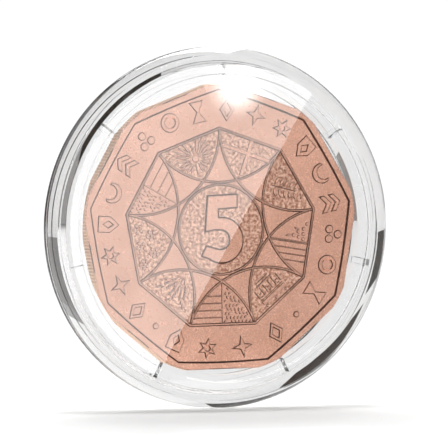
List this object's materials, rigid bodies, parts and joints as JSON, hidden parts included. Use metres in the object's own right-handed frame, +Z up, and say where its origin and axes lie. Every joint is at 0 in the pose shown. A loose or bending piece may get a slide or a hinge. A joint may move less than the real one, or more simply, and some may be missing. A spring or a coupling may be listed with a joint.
{
  "type": "round coin capsule",
  "caption": "Clear round two-part capsule standing on its rim, with a slotted inner collar, holding a nine-sided copper coin.",
  "frame": {"origin": "lowest point of the rim, midway between the two faces, where the standing capsule touches the table", "axes": "+Z up, the capsule's round axis along Y, front face (lid side) towards -Y, back face (base side) towards +Y, X to the right seen from the front"},
  "size_m": [0.0356, 0.0048, 0.0355],
  "materials": {
    "clear_acrylic_base": "polished",
    "clear_acrylic_lid": "polished",
    "coin_copper": "satin"
  },
  "bodies": {
    "base": {"base_shell": "clear_acrylic_base"},
    "lid": {"lid_shell": "clear_acrylic_lid"},
    "coin": {"coin": "coin_copper"}
  },
  "joints": [
    {"name": "lid_lift", "type": "slide", "parent": "base", "child": "lid", "axis": [0, -1, 0], "range_m": [0, 0.02]},
    {"name": "coin_spin", "type": "hinge", "parent": "base", "child": "coin", "pos_m": [0, 0, 0.0176], "axis": [0, -1, 0], "continuous": true}
  ]
}
